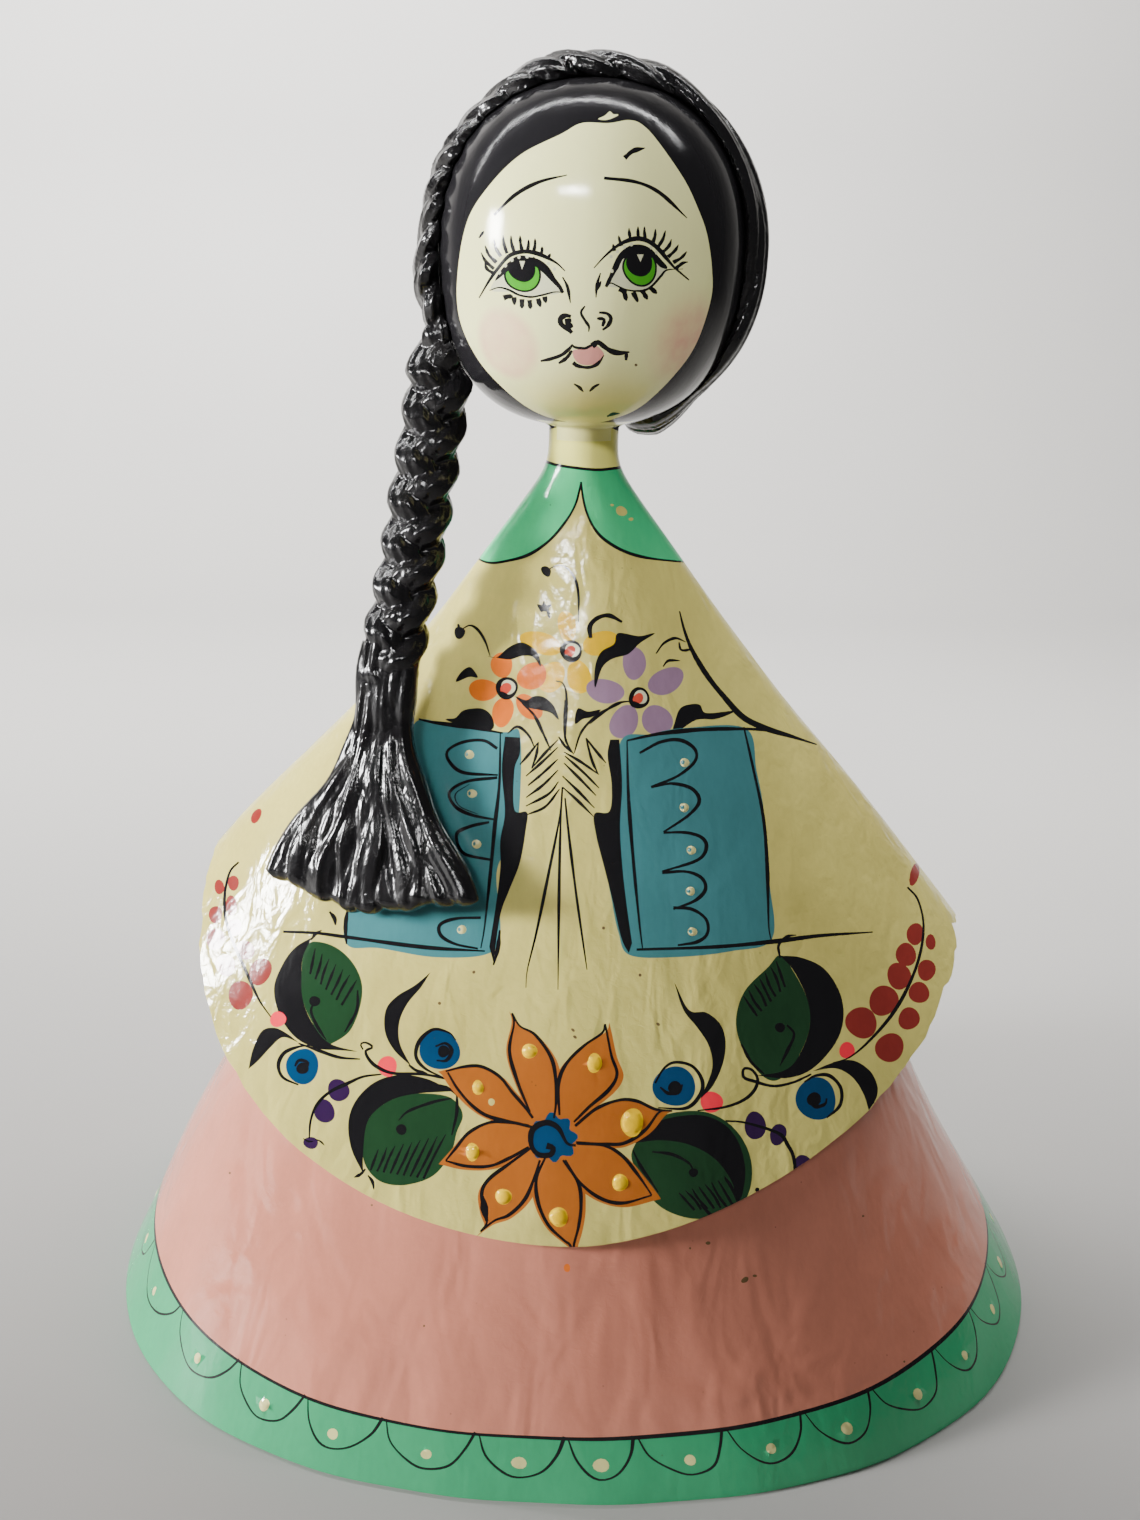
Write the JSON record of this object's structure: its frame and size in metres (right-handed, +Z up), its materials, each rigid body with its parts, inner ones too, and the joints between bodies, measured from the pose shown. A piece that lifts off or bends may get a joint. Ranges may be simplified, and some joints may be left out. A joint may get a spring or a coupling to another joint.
{
  "type": "papier-mache figure",
  "caption": "Painted papier-mache lady: oval skirt, cape in one form with neck and egg-shaped head, hair roll and a long braid with a tassel.",
  "frame": {"origin": "middle of the flat underside", "axes": "+Z up, the face and the painted front look along -Y, +X is the viewer's right"},
  "size_m": [0.2978, 0.2098, 0.3607],
  "materials": {
    "skirt_paint": "glossy varnish over pink paint, with a green scalloped hem",
    "cape_and_face_paint": "glossy varnish over cream paint with painted face, collar, sleeves and flowers",
    "hair_lacquer": "thick glossy black lacquer over modelled strands"
  },
  "bodies": {
    "root": {"skirt": "skirt_paint", "head_and_cape": "cape_and_face_paint", "hair_roll": "hair_lacquer", "braid": "hair_lacquer"}
  },
  "joints": []
}
